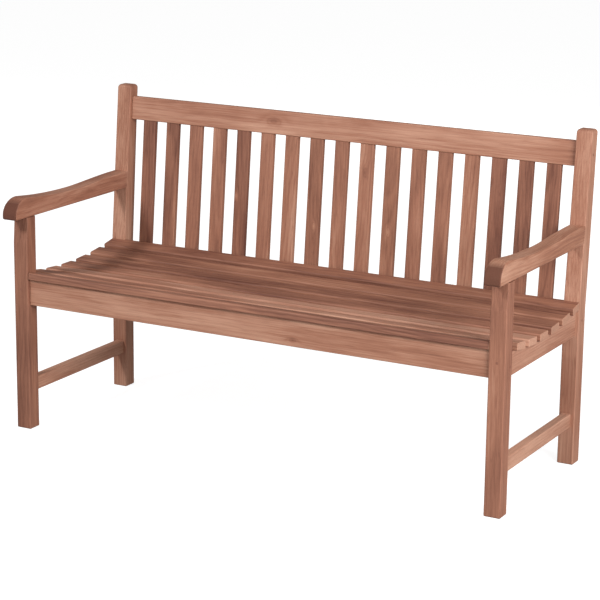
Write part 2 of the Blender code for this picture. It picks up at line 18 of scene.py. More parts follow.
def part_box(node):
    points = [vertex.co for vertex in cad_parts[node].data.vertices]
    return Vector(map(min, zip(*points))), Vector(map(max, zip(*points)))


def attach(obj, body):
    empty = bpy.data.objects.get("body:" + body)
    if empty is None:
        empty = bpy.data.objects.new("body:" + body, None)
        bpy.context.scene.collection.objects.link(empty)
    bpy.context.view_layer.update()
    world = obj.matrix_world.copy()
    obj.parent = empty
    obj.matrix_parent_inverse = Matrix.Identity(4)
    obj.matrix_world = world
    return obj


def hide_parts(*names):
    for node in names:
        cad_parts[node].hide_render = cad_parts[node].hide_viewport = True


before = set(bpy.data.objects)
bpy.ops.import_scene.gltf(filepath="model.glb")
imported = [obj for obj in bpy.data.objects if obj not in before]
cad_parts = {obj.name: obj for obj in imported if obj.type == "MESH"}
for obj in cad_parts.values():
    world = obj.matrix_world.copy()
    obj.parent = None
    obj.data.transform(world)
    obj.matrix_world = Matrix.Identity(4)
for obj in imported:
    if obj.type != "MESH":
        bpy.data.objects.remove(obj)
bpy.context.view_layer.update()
LOG = logging.getLogger("garden_bench")

SIDES = {"left": -1, "right": 1}
SPARE = 0.0003  # how much rounder an outline's corner is than the easing that shrinks it
FLUSH = -1.0  # the rounding radius that marks a corner where an end butts against another timber
ARC_STEPS = 6  # straight runs in the arc of an eased corner
RAIL_STEPS = 40  # points along a rail's curved top
RIGHT, BACK, UP = np.eye(3)
Tree, Socket = bpy.types.NodeTree, bpy.types.NodeSocket
Outline = tuple[np.ndarray, np.ndarray]  # points, and how each moves when the outline shrinks


# ---------------------------------------------------------------- colour and nodes


def linear(colour: str) -> tuple[float, float, float, float]:
    """Turns an sRGB hex colour to linear light.

    Args:
        colour: six hex digits, such as "a5765f".

    Returns:
        Red, green, blue and an alpha of 1.
    """
    channels = [int(colour[i : i + 2], 16) / 255 for i in (0, 2, 4)]
    lit = [c / 12.92 if c <= 0.04045 else ((c + 0.055) / 1.055) ** 2.4 for c in channels]
    return (*lit, 1.0)


def add_node(tree: Tree, kind: str, inputs: dict | None = None, **settings: object) -> bpy.types.Node:
    """Adds a node with its settings and links.

    Args:
        tree: the node tree that it joins.
        kind: the node's type, without its "ShaderNode" prefix.
        inputs: socket name or number to a value, or to the output socket that feeds it.
        settings: the node's own properties.

    Returns:
        The new node.
    """
    node = tree.nodes.new("ShaderNode" + kind)
    for name, value in settings.items():
        setattr(node, name, value)
    for socket, value in (inputs or {}).items():
        if isinstance(value, Socket):
            tree.links.new(value, node.inputs[socket])
        else:
            node.inputs[socket].default_value = value
    return node


# ---------------------------------------------------------------- outlines and boards


def outline(corners: np.ndarray, radii: np.ndarray) -> Outline:
    """A closed outline with eased corners, and how each of its points moves when the outline shrinks.

    At a corner that turns by t, the arc of radius r starts and ends r * tan(t / 2) from the corner, and
    its points lie at the arc's centre plus r times the outward normal. A corner with no radius moves
    along the sum of its two normals over one plus their product, which shifts both sides alike. A FLUSH
    corner slides along the side that butts against another timber, so that side stays where it is.

    Args:
        corners: (n, 2) corners, anticlockwise.
        radii: (n,) rounding radius of each corner, 0 for none. Two FLUSH corners in a row bound a butt.

    Returns:
        (m, 2) points and (m, 2) outward pulls, one step of easing long.
    """
    ahead = np.roll(corners, -1, axis=0) - corners
    ahead = ahead / np.linalg.norm(ahead, axis=1, keepdims=True)
    normals = np.stack([ahead[:, 1], -ahead[:, 0]], axis=1)
    points, pulls = [], []
    for i, (corner, radius) in enumerate(zip(corners, radii)):
        along_in, along_out = ahead[i - 1], ahead[i]
        normal_in, normal_out = normals[i - 1], normals[i]
        if radius > 0:
            turn = math.atan2(along_in[0] * along_out[1] - along_in[1] * along_out[0], along_in @ along_out)
            start = corner - along_in * radius * math.tan(abs(turn) / 2)
            centre = start - normal_in * radius * np.sign(turn)
            angles = math.atan2(normal_in[1], normal_in[0]) + turn * np.linspace(0, 1, ARC_STEPS + 1)
            pull = np.stack([np.cos(angles), np.sin(angles)], axis=1)
            points.append(centre + pull * radius * np.sign(turn))
        elif radius == FLUSH:
            starts_butt = radii[(i + 1) % len(radii)] == FLUSH
            butt, free = (along_out, normal_in) if starts_butt else (along_in, normal_out)
            pull = (butt / (butt @ free))[None]
            points.append(corner[None])
        else:
            pull = ((normal_in + normal_out) / (1 + normal_in @ normal_out))[None]
            points.append(corner[None])
        pulls.append(pull)
    return np.concatenate(points), np.concatenate(pulls)


def ease(half: float, radii: float | np.ndarray) -> tuple[np.ndarray, np.ndarray]:
    """The stations across a board whose two faces meet its sides in quarter circles.

    The stations of a radius r stand r * (1 - cos a) in from the face, for angles a of the quarter. At a
    station t in from the face, a point of radius r has shrunk by r - sqrt(r^2 - (r - t)^2), or by
    nothing where t is more than r.

    Args:
        half: half the board's thickness.
        radii: the radius of the quarter circle, or one for each point of the outline; 0 is square.

    Returns:
        (s,) offsets from the middle of the thickness, and (s, m, 1) shrinks, with m = 1 for one radius.
    """
    radii = np.atleast_1d(radii)
    quarter = 1 - np.cos(np.linspace(0, math.pi / 2, ARC_STEPS + 1))
    inwards = np.unique(np.outer(np.unique(radii), quarter))
    inside = np.clip(radii - inwards[:, None], 0, None)
    shrinks = (radii - np.sqrt(radii**2 - inside**2))[..., None]
    return np.concatenate([inwards - half, half - inwards[::-1]]), np.concatenate([shrinks, shrinks[::-1]])


@dataclass(frozen=True)
class Placing:
    """Where a board's outline lies: its two axes, the axis that it is carried along, and the origin."""

    first: np.ndarray
    second: np.ndarray
    carried: np.ndarray
    origin: np.ndarray = field(default_factory=lambda: np.zeros(3))

    def rows(self, outlines: np.ndarray, offsets: np.ndarray) -> np.ndarray:
        """Puts (s, m, 2) outlines at (s,) offsets along the carried axis, as (s, m, 3) points."""
        flat = outlines[..., :1] * self.first + outlines[..., 1:] * self.second
        return self.origin + flat + offsets[:, None, None] * self.carried


def beam(
    section: Outline, placing: Placing, start: float, end: float, edge: float | np.ndarray = 0.0
) -> np.ndarray:
    """A section carried between two places, its two ends eased.

    Args:
        section: the section, from outline.
        placing: its axes.
        start: where it begins along the carried axis.
        end: where it ends.
        edge: rounding of the ends, or one for each point of the section.

    Returns:
        (s, m, 3) rows.
    """
    points, pulls = section
    offsets, shrinks = ease((end - start) / 2, edge)
    return placing.rows(points - shrinks * pulls, offsets + (start + end) / 2)


@dataclass(frozen=True)
class Knot:
    """A knot: its place along and across the board from the board's middle, its radius and darkness.

    The darkness is added to the board's, and is below nothing for a knot paler than its board.
    """

    along: float
    across: float
    radius: float
    darkness: float = 0.35


class Shade(Enum):
    """How dark a board's heartwood is, from 0, pale, to 1, dark."""

    STRAW = 0.06
    PALE = 0.18
    LIGHT = 0.30
    EVEN = 0.42
    WARM = 0.54
    DEEP = 0.66
    DARK = 0.78


# How dark each board is, and for the right stretcher a painted highlight too; the rest are even.
SHADES = {
    "front_leg_left": Shade.DEEP,
    "front_leg_right": Shade.WARM,
    "rear_post_left": Shade.LIGHT,
    "rear_post_right": Shade.LIGHT,
    "arm_left": Shade.EVEN,
    "arm_right": Shade.LIGHT,
    "front_rail": Shade.LIGHT,
    "top_rail": Shade.LIGHT,
    "side_rail_left": Shade.LIGHT,
    "side_rail_right": Shade.LIGHT,
    "side_stretcher_left": Shade.PALE,
    # palest partly as a painted highlight, standing for the low light from the right that falls on it
    "side_stretcher_right": Shade.STRAW,
    "seat_slat_1": Shade.DEEP,
    "seat_slat_2": Shade.LIGHT,
    "seat_slat_3": Shade.PALE,
    "seat_slat_4": Shade.WARM,
    "seat_slat_5": Shade.DEEP,
    "seat_slat_6": Shade.WARM,
    "seat_slat_7": Shade.DEEP,
    "back_slat_01": Shade.DEEP,
    "back_slat_02": Shade.DEEP,
    "back_slat_03": Shade.WARM,
    "back_slat_04": Shade.WARM,
    "back_slat_05": Shade.DARK,
    "back_slat_08": Shade.DEEP,
    "back_slat_09": Shade.WARM,
    "back_slat_11": Shade.WARM,
    "back_slat_12": Shade.WARM,
    "back_slat_13": Shade.WARM,
    "back_slat_15": Shade.DARK,
    "back_slat_16": Shade.DARK,
    "back_slat_17": Shade.DEEP,
}


@dataclass(frozen=True)
class Cut:
    """How a board was cut from its log.

    Attributes:
        along: the direction of the grain.
        across: the direction of the board's wider face, square to the grain.
        pith: the log's heart from the board's middle, across the wide face and through it. A heart
            straight behind the face gives arched figure, one far to its side gives straight lines.
        slope: how far the log ran off the board's length, which draws the arches out.
        figure: how strong the ring lines are.
        knot: a knot, if the board has one.
    """

    along: np.ndarray
    across: np.ndarray
    pith: tuple[float, float] = (0.03, 0.06)
    slope: float = 0.02
    figure: float = 0.5
    knot: Knot | None = None


class Workshop:
    """Cuts boards out of the log and gathers them as pieces of the bench."""

    LOG_SPACING = 3.7  # between the stretches of wood that two boards are cut from
    SHARP = math.radians(35)  # faces that meet at more than this keep a hard edge
    END_STARTS = 0.25  # how squarely a face cuts the grain where end grain starts to show
    END_BLENDS = 0.35  # and how much more before it shows in full
    NO_KNOT = 1000.0  # how many radii off the knot is that a board hasn't got

    def __init__(self) -> None:
        """Starts with an empty bench."""
        self.random = np.random.default_rng(20)
        self.count = 0

    def board(self, node: str, rows: np.ndarray, cut: Cut, finish: "Teak") -> bpy.types.Object:
        """Makes a board that stands for a CAD node.

        The board is the closed surface through rows of points, with a flat face at each end. Its place
        in the log is an affine function of the place of each point, held in point attributes, so the
        wood's pattern runs through the board as through a solid.

        Args:
            node: the CAD node that it replaces.
            rows: (s, m, 3) points: s closed outlines of m points each.
            cut: how it was cut from its log.
            finish: the teak that it is made of.

        Returns:
            The new object, which rides on the bench.
        """
        stations, around, _ = rows.shape
        points = rows.reshape(-1, 3)
        index = np.arange(stations * around).reshape(stations, around)
        after = np.roll(index, -1, axis=1)
        quads = np.stack([index[:-1], after[:-1], after[1:], index[1:]], axis=-1).reshape(-1, 4)
        ends = [index[0][::-1], index[-1]]
        a, b, c, d = (points[quads[:, k]] for k in range(4))
        outwards = np.einsum("ij,ij->i", a + b + c + d, np.cross(c - a, d - b)) / 4
        caps = sum(self.cone(points[end]) for end in ends)
        faces = quads.tolist() + [end.tolist() for end in ends]
        if outwards.sum() + caps < 0:
            faces = [face[::-1] for face in faces]
        mesh = bpy.data.meshes.new("teak_" + node)
        mesh.from_pydata(points.tolist(), [], faces)
        self.write_grain(mesh, points, cut, SHADES.get(node, Shade.EVEN))
        mesh.shade_smooth()
        mesh.set_sharp_from_angle(angle=self.SHARP)
        piece = bpy.data.objects.new("teak_" + node, mesh)
        bpy.context.scene.collection.objects.link(piece)
        weigh = piece.modifiers.new("flat_faces_stay_flat", "WEIGHTED_NORMAL")
        weigh.keep_sharp = True
        mesh.materials.append(finish.material())
        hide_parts(node)
        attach(piece, "root")
        self.count += 1
        LOG.info("%s: %d points, %s", piece.name, len(points), finish.slot)
        return piece

    @staticmethod
    def cone(ring: np.ndarray) -> float:
        """Six times the signed volume from the origin to a flat ring: its middle dot its doubled area."""
        doubled = np.cross(ring, np.roll(ring, -1, axis=0)).sum(axis=0)
        return float(ring.mean(axis=0) @ doubled)

    def write_grain(self, mesh: bpy.types.Mesh, points: np.ndarray, cut: Cut, shade: Shade) -> None:
        """Writes where each point lay in the log, how the board is shaded and where its knot is.

        The place in the log is (p - middle) turned to the board's along, across and through axes, plus
        a draw of the seeded generator along the log, minus the heart's place. The slope adds slope
        times the distance along to the distance through.

        Args:
            mesh: the board's mesh.
            points: (n, 3) its points.
            cut: how it was cut from its log.
            shade: how dark it is.
        """
        middle = (points.min(axis=0) + points.max(axis=0)) / 2
        through = np.cross(cut.along, cut.across)
        local = (points - middle) @ np.stack([cut.along, cut.across, through], axis=1)
        wood = local.copy()
        wood[:, 0] += self.count * self.LOG_SPACING + self.random.uniform(0, 1)
        wood[:, 1] -= cut.pith[0]
        wood[:, 2] += local[:, 0] * cut.slope - cut.pith[1]
        knot = np.full_like(points, self.NO_KNOT)
        if cut.knot:
            knot[:, 0] = (local[:, 0] - cut.knot.along) / cut.knot.radius
            knot[:, 1] = (local[:, 1] - cut.knot.across) / cut.knot.radius
            knot[:, 2] = cut.knot.darkness
        tone = np.tile([shade.value, self.random.uniform(0, 1), cut.figure], (len(points), 1))
        for name, values in (("wood", wood), ("knot", knot), ("tone", tone)):
            attribute = mesh.attributes.new(name, "FLOAT_VECTOR", "POINT")
            attribute.data.foreach_set("vector", values.ravel())
        normals = np.zeros(len(mesh.polygons) * 3)
        mesh.polygons.foreach_get("normal", normals)
        facing = np.abs(normals.reshape(-1, 3) @ cut.along)
        sizes = np.zeros(len(mesh.polygons), int)
        mesh.polygons.foreach_get("loop_total", sizes)
        end = mesh.attributes.new("end_grain", "FLOAT", "CORNER")
        shown = np.clip((facing - self.END_STARTS) / self.END_BLENDS, 0, 1)
        end.data.foreach_set("value", np.repeat(shown, sizes))


# ---------------------------------------------------------------- finishes


def clouds(
    tree: Tree, wood: Socket, scale: tuple[float, float, float], detail: float, roughness: float = 0.5
) -> Socket:
    """Noise over the wood, stretched by one over the scale.

    Args:
        tree: the material's nodes.
        wood: the place in the log.
        scale: how many times it changes per metre along, across and through the log.
        detail: how many finer noises are added.
        roughness: how strong each finer noise is against the one before.

    Returns:
        The noise, from 0 to 1 about 0.5.
    """
    stretched = add_node(tree, "VectorMath", {0: wood, 1: scale}, operation="MULTIPLY").outputs[0]
    inputs = {"Vector": stretched, "Scale": 1.0, "Detail": detail, "Roughness": roughness}
    return add_node(tree, "TexNoise", inputs).outputs["Fac"]


@dataclass(frozen=True)
class Teak:
    """Bare teak heartwood, planed, sanded and left without varnish.

    It is matt with a faint waxy sheen. The heartwood goes from straw to reddish brown, with darker late
    wood in each growth ring, fine open pores that are drawn as dark dashes, and dark end grain.

    Attributes:
        slot: the record's material slot.
        pale: colour of the lightest early wood.
        middle: colour between the two.
        dark: colour of the darkest late wood and of knots.
        ring: mean width of a growth ring.
        fibre: mean width of a visible streak of fibres. Real fibres are finer, and are drawn this
            coarse so that they show.
        pore: width of a pore's dash.
        end: colour of sawn end grain, dark on the arms; on the seat slats a pale colour that is a painted
            highlight on their ends.
        end_share: how far end grain goes over to that colour.
    """

    slot: str
    pale: str = "c6977e"
    middle: str = "a16d55"
    dark: str = "6a3e2e"
    end: str = "74493a"
    ring: float = 0.0075
    fibre: float = 0.0035
    pore: float = 0.0006
    end_share: float = 0.45

    MIDDLE = 0.45  # how dark the middle colour is
    OFFSET = 0.36  # taken off the sum of shade, patches, streaks and late wood
    STREAKS, LATE_WOOD, DARK_LINES = 0.7, 0.20, 0.15  # how dark each can make the wood
    SWAY_BEND, KNOT_BEND = 22.0, 16.0  # radians that the slow sway and a knot bend the rings
    LINE_WIDTH = 0.02  # how near its middle value a noise draws a fine dark line
    PORE_STARTS, PORE_FULL = 0.60, 0.72  # noise where a pore begins, and where it is full
    PORE_SHADE = 0.72  # what a full pore leaves of the colour
    REDDEST, YELLOWEST = 0.4985, 0.5005  # the boards' hue shifts; 0.5 is none
    SMOOTHEST, ROUGHEST = 0.56, 0.70  # of a pale streak and of a dark one
    RELIEF = 0.0004  # deepest the grain could stand

    def material(self) -> bpy.types.Material:
        """The finish's material, made once."""
        name = "teak_" + self.slot
        return bpy.data.materials.get(name) or self.build(name)

    def build(self, name: str) -> bpy.types.Material:
        """Builds the material.

        Args:
            name: the material's name.

        Returns:
            The material.
        """
        material = bpy.data.materials.new(name)
        material.use_nodes = True
        tree = material.node_tree
        surface = tree.nodes["Principled BSDF"]
        wood = add_node(tree, "Attribute", attribute_name="wood").outputs["Vector"]
        tone = add_node(tree, "Attribute", attribute_name="tone").outputs["Vector"]
        end = add_node(tree, "Attribute", attribute_name="end_grain").outputs["Fac"]
        shade, chance, figure = add_node(tree, "SeparateXYZ", {0: tone}).outputs
        streaks = clouds(tree, wood, (4.5, 1 / self.fibre, 1 / self.fibre), 4.0, 0.65)
        darkness = self.darkness(tree, wood, streaks, shade, figure)
        ramp = add_node(tree, "ValToRGB", {0: darkness})
        stops = ramp.color_ramp.elements
        stops[0].position, stops[0].color = 0.0, linear(self.pale)
        stops[1].position, stops[1].color = 1.0, linear(self.dark)
        stops.new(self.MIDDLE).color = linear(self.middle)

        # Pores are short dark dashes, and end grain has a colour of its own, which on the seat slats is a
        # painted highlight.
        threads = clouds(tree, wood, (14.0, 1 / self.pore, 1 / self.pore), 1.0)
        inputs = {0: threads, 1: self.PORE_STARTS, 2: self.PORE_FULL, 3: 1.0, 4: self.PORE_SHADE}
        pores = add_node(tree, "MapRange", inputs).outputs[0]
        share = add_node(tree, "Math", {0: end, 1: self.end_share}, operation="MULTIPLY").outputs[0]
        inputs = {0: share, 6: ramp.outputs["Color"], 7: linear(self.end)}
        mixed = add_node(tree, "Mix", inputs, data_type="RGBA").outputs[2]
        colour = add_node(tree, "VectorMath", {0: mixed, "Scale": pores}, operation="SCALE").outputs[0]
        inputs = {0: chance, 1: 0.0, 2: 1.0, 3: self.REDDEST, 4: self.YELLOWEST}
        warm = add_node(tree, "MapRange", inputs).outputs[0]
        tinted = add_node(tree, "HueSaturation", {"Hue": warm, "Color": colour}).outputs[0]
        tree.links.new(tinted, surface.inputs["Base Color"])

        # Sanded wood: the streaks and the pores stand a few hundredths of a millimetre deep, and sawn
        # end grain is matt.
        height = add_node(tree, "Math", {0: streaks, 1: 0.5, 2: pores}, operation="MULTIPLY_ADD").outputs[0]
        bump = add_node(tree, "Bump", {"Height": height, "Strength": 0.35, "Distance": self.RELIEF})
        tree.links.new(bump.outputs["Normal"], surface.inputs["Normal"])
        inputs = {0: streaks, 1: 0.3, 2: 0.7, 3: self.SMOOTHEST, 4: self.ROUGHEST}
        rough = add_node(tree, "MapRange", inputs).outputs[0]
        rough = add_node(tree, "Math", {0: rough, 1: share}, operation="MAXIMUM").outputs[0]
        tree.links.new(rough, surface.inputs["Roughness"])
        surface.inputs["IOR"].default_value = 1.5
        return material

    def darkness(self, tree: Tree, wood: Socket, streaks: Socket, shade: Socket, figure: Socket) -> Socket:
        """How dark the wood is at a point, from 0 to 1.

        It is the board's own shade, plus cloudy patches, plus streaks along the fibres, plus late wood
        once per ring of the distance from the heart, plus a few fine dark lines, plus the knot.

        Args:
            tree: the material's nodes.
            wood: the place in the log.
            streaks: the noise that is drawn out along the fibres.
            shade: the board's own shade.
            figure: how strong its ring lines are.

        Returns:
            The darkness.
        """
        knot = add_node(tree, "Attribute", attribute_name="knot").outputs["Vector"]
        stain = add_node(tree, "SeparateXYZ", {0: knot}).outputs[2]

        # A knot's pull on the rings round it: 1 at its middle and a quarter at its rim, and drawn out
        # along the grain.
        inputs = {0: knot, 1: (0.45, 1.0, 0.0)}
        spread = add_node(tree, "VectorMath", inputs, operation="MULTIPLY").outputs[0]
        squared = add_node(tree, "VectorMath", {0: spread, 1: spread}, operation="DOT_PRODUCT").outputs[1]
        rim = add_node(tree, "Math", {0: squared, 1: 1.0}, operation="ADD").outputs[0]
        rim = add_node(tree, "Math", {0: rim, 1: rim}, operation="MULTIPLY").outputs[0]
        pull = add_node(tree, "Math", {0: 1.0, 1: rim}, operation="DIVIDE").outputs[0]

        # Late wood: rings of the distance from the heart, bent by a slow sway and by the knot.
        sway = clouds(tree, wood, (2.6, 9.0, 9.0), 2.0)
        bend = add_node(tree, "Math", {0: sway, 1: self.SWAY_BEND}, operation="MULTIPLY").outputs[0]
        inputs = {0: pull, 1: self.KNOT_BEND, 2: bend}
        bend = add_node(tree, "Math", inputs, operation="MULTIPLY_ADD").outputs[0]
        rings = add_node(
            tree,
            "TexWave",
            {
                "Vector": wood,
                "Scale": math.pi / 10 / self.ring,
                "Distortion": 2.2,
                "Detail": 2.0,
                "Detail Scale": 0.35,
                "Phase Offset": bend,
            },
            wave_type="RINGS",
            rings_direction="X",
            wave_profile="SIN",
        ).outputs["Fac"]
        late = add_node(tree, "Math", {0: rings, 1: 2.2}, operation="POWER").outputs[0]
        late = add_node(tree, "Math", {0: late, 1: figure}, operation="MULTIPLY").outputs[0]

        # Fine dark lines lie where a noise passes its middle value.
        lines = clouds(tree, wood, (1.6, 75.0, 75.0), 2.0)
        off = add_node(tree, "Math", {0: lines, 1: 0.5}, operation="SUBTRACT").outputs[0]
        off = add_node(tree, "Math", {0: off}, operation="ABSOLUTE").outputs[0]
        inputs = {0: off, 1: 0.0, 2: self.LINE_WIDTH, 3: 1.0, 4: 0.0}
        dark_line = add_node(tree, "MapRange", inputs).outputs[0]

        patches = clouds(tree, wood, (3.0, 18.0, 18.0), 3.0)
        cloudy = add_node(tree, "Math", {0: patches, 1: 0.5}, operation="SUBTRACT").outputs[0]
        contrast = add_node(tree, "Math", {0: figure, 1: 1.1, 2: 0.4}, operation="MULTIPLY_ADD").outputs[0]
        total = shade
        for part, weight in (
            (cloudy, contrast),
            (streaks, self.STREAKS),
            (late, self.LATE_WOOD),
            (dark_line, self.DARK_LINES),
            (pull, stain),
        ):
            inputs = {0: part, 1: weight, 2: total}
            total = add_node(tree, "Math", inputs, operation="MULTIPLY_ADD").outputs[0]
        return add_node(tree, "Math", {0: total, 1: self.OFFSET}, operation="SUBTRACT").outputs[0]


LEG_TEAK = Teak("leg_wood", end_share=0.15)  # the round tops are sanded until they look like the sides
ARM_TEAK = Teak("arm_wood", end="5f3728", end_share=0.95)  # the noses are dark, thirsty end grain
RAIL_TEAK = Teak("rail_wood")
SEAT_TEAK = Teak("seat_slat_wood", end="c6977e", end_share=0.6, fibre=0.0045)  # pale ends: a painted highlight for the light that the sawn ends catch
BACK_TEAK = Teak("back_slat_wood")
PEG_TEAK = Teak("peg_wood", "a87460", "8c5a47", "5f3d2f", end_share=0.2)  # end grain all over


# ---------------------------------------------------------------- the bench


@dataclass
class Plan:
    """The bench's main lines. Those that the frame's boxes give are read from there."""

    lean: float = math.radians(5.0)  # front faces of the posts and the whole back
    back_lean: float = math.radians(3.95)  # back faces of the posts
    knee: float = 0.465  # where the posts' front faces start to lean
    back_knee: float = 0.430
    seat_height: float = 0.433  # lowest line of the seat's dish
    dish_radius: float = 1.170
    dish_depth: float = 0.250  # that line, behind the front of the legs
    slat_thickness: float = 0.020  # of the seat
    gap: float = 0.0003  # between two timbers that meet

    def __post_init__(self) -> None:
        """Reads the rest from the frame."""
        leg_low, leg_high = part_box("front_leg_right")
        post_low, post_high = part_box("rear_post_right")
        self.half_length = leg_high.x
        self.inner_half = leg_low.x
        self.front = leg_low.y
        self.leg_back = leg_high.y
        self.post_front = post_low.y
        self.height = post_high.z
        self.arm_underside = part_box("arm_right")[0].z
        self.up_back = np.array([0, math.sin(self.lean), math.cos(self.lean)])
        self.behind_back = np.array([0, math.cos(self.lean), -math.sin(self.lean)])
        self.back_origin = np.array([0, self.post_front, self.knee])

    def post_face(self, height: float) -> float:
        """Depth of the posts' front faces at a height above the knee."""
        return self.post_front + (height - self.knee) * math.tan(self.lean)

    def dish(self, depth: np.ndarray, radius: float) -> np.ndarray:
        """Height of an arc about the dish's axis: axis height - sqrt(radius^2 - (depth - axis depth)^2)."""
        axis = self.seat_height + self.dish_radius
        return axis - np.sqrt(radius**2 - (depth - self.front - self.dish_depth) ** 2)

    def under_slats(self, start: float, end: float, foot: float) -> Outline:
        """The side outline of a timber whose top follows the undersides of the slats.

        Args:
            start: depth of its front end.
            end: depth of its rear end.
            foot: height of its lower edge.

        Returns:
            The outline.
        """
        depth = np.linspace(end, start, RAIL_STEPS)
        radius = self.dish_radius + self.slat_thickness + self.gap
        arc = np.stack([depth, self.dish(depth, radius)], axis=1)
        corners = np.concatenate([[(start, foot), (end, foot)], arc])
        radii = np.zeros(len(corners))
        radii[[0, 1, 2, -1]] = FLUSH
        return outline(corners, radii)


@dataclass
class EndFrames:
    """The two ends of the bench: legs, posts, arms, side rails and stretchers."""

    plan: Plan
    shop: Workshop
    edge: float = 0.003  # rounding of the legs and posts
    arm_edge: float = 0.0045
    post_depth: float = 0.0455
    post_top: float = 0.009  # rounding of a post's top, front and back
    post_crown: float = 0.008  # and at its sides
    slope_height: float = 0.075  # sloping stretch of a front leg, under the arm
    slope_set_back: float = 0.006
    slope_round: float = 0.08  # where the slope starts
    knee_round: float = 0.10  # of the posts' knees
    arm_lip: float = 0.013
    arm_crest: float = 0.057
    arm_dip: float = 0.0415
    arm_rear: float = 0.050
    crest_depth: float = 0.010
    fall_power: float = 0.55  # below 1 the top falls early behind the crest
    rise_power: float = 0.8
    nose_steps: int = 16
    sweep_steps: int = 20
    lip_spare: float = 0.001  # how much rounder the foot of the nose is than the arm's edges
    rail_edge: float = 0.0015  # rounding of the side rails

    def across(self, side: int, section: Outline, edge: float | np.ndarray) -> np.ndarray:
        """A side outline (depth, height), carried across the width of the leg at a side."""
        start, end = sorted((side * self.plan.inner_half, side * self.plan.half_length))
        return beam(section, Placing(BACK, UP, RIGHT), start, end, edge)

    def build(self) -> None:
        """Builds both ends."""
        for name, side in SIDES.items():
            self.front_leg(name, side)
            self.rear_post(name, side)
            self.arm(name, side)
            self.side_rail(name)
            self.stretcher(name)

    def front_leg(self, name: str, side: int) -> None:
        """A front leg: square, with its front face sloping back under the arm.

        Args:
            name: left or right.
            side: -1 for left, 1 for right.
        """
        plan = self.plan
        top = plan.arm_underside - plan.gap
        corners = np.array(
            [
                (plan.front, 0),
                (plan.leg_back, 0),
                (plan.leg_back, top),
                (plan.front + self.slope_set_back, top),
                (plan.front, top - self.slope_height),
            ]
        )
        foot = self.edge + SPARE
        section = outline(corners, np.array([foot, foot, FLUSH, FLUSH, self.slope_round]))
        rows = self.across(side, section, self.edge)
        cut = Cut(UP, RIGHT, pith=(0.05 * side, 0.03), slope=0.03)
        self.shop.board("front_leg_" + name, rows, cut, LEG_TEAK)

    def rear_post(self, name: str, side: int) -> None:
        """A rear post: upright to its knee, then leaning back and growing thinner, round on top.

        Args:
            name: left or right.
            side: -1 for left, 1 for right.
        """
        plan = self.plan
        foot_back = plan.post_front + self.post_depth
        rise = plan.height - plan.back_knee
        corners = np.array(
            [
                (plan.post_front, 0),
                (foot_back, 0),
                (foot_back, plan.back_knee),
                (foot_back + rise * math.tan(plan.back_lean), plan.height),
                (plan.post_face(plan.height), plan.height),
                (plan.post_front, plan.knee),
            ]
        )
        foot, top, knee = self.edge + SPARE, self.post_top, self.knee_round
        points, pulls = outline(corners, np.array([foot, foot, knee, top, top, knee]))
        crown = np.where(points[:, 1] > plan.back_knee + rise / 2, pulls[:, 1].clip(0, 1), 0)
        radii = self.edge + (self.post_crown - self.edge) * crown
        rows = self.across(side, (points, pulls), radii)
        cut = Cut(UP, RIGHT, pith=(0.06 * side, 0.02))
        self.shop.board("rear_post_" + name, rows, cut, LEG_TEAK)

    def arm(self, name: str, side: int) -> None:
        """An arm: flat underneath, rolled over at the nose and dipped behind it.

        The nose is a quarter ellipse from the lip to the crest. Behind the crest the thickness falls to
        the dip as half a cosine of s^fall_power, where s goes from 0 to 1, and rises to the post as
        half a cosine of s^rise_power.

        Args:
            name: left or right.
            side: -1 for left, 1 for right.
        """
        plan = self.plan
        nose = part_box("arm_" + name)[0].y
        under = plan.arm_underside
        crest = plan.front + self.crest_depth
        end = plan.post_face(under + self.arm_rear) - plan.gap
        dip = (crest + end) / 2
        turn = np.linspace(0, math.pi / 2, self.nose_steps)
        roll_depth = crest - (crest - nose) * np.cos(turn)
        roll_height = self.arm_lip + (self.arm_crest - self.arm_lip) * np.sin(turn)
        share = np.linspace(0, 1, self.sweep_steps)[1:]
        falling = (1 + np.cos(math.pi * share**self.fall_power)) / 2
        rising = (1 - np.cos(math.pi * share**self.rise_power)) / 2
        fall = self.arm_dip + (self.arm_crest - self.arm_dip) * falling
        rise = self.arm_dip + (self.arm_rear - self.arm_dip) * rising
        depth = np.concatenate([roll_depth, crest + (dip - crest) * share, dip + (end - dip) * share])
        top = np.stack([depth, np.concatenate([roll_height, fall, rise]) + under], axis=1)
        corners = np.concatenate([top[::-1], [(nose, under), (plan.post_face(under) - plan.gap, under)]])
        radii = np.zeros(len(corners))
        radii[0] = radii[-1] = FLUSH
        radii[-2] = self.arm_edge + self.lip_spare
        rows = self.across(side, outline(corners, radii), self.arm_edge)
        cut = Cut(BACK, UP, pith=(0.02, 0.05 * side), slope=0.025, figure=0.7)
        self.shop.board("arm_" + name, rows, cut, ARM_TEAK)

    def side_rail(self, name: str) -> None:
        """A side rail: its top follows the undersides of the slats.

        Args:
            name: left or right.
        """
        plan = self.plan
        low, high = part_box("side_rail_" + name)
        section = plan.under_slats(plan.leg_back + plan.gap, plan.post_front - plan.gap, low.z)
        rows = beam(section, Placing(BACK, UP, RIGHT), low.x, high.x, self.rail_edge)
        cut = Cut(BACK, UP, pith=(0.05, 0.03), figure=0.4)
        self.shop.board("side_rail_" + name, rows, cut, RAIL_TEAK)

    def stretcher(self, name: str) -> None:
        """A low stretcher, its long edges eased.

        Args:
            name: left or right.
        """
        plan = self.plan
        low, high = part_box("side_stretcher_" + name)
        corners = np.array([(low.x, low.z), (high.x, low.z), (high.x, high.z), (low.x, high.z)])
        section = outline(corners, np.full(4, self.edge))
        rows = beam(section, Placing(RIGHT, UP, BACK), plan.leg_back + plan.gap, plan.post_front - plan.gap)
        cut = Cut(BACK, UP, pith=(0.04, 0.03), figure=0.4)
        self.shop.board("side_stretcher_" + name, rows, cut, RAIL_TEAK)


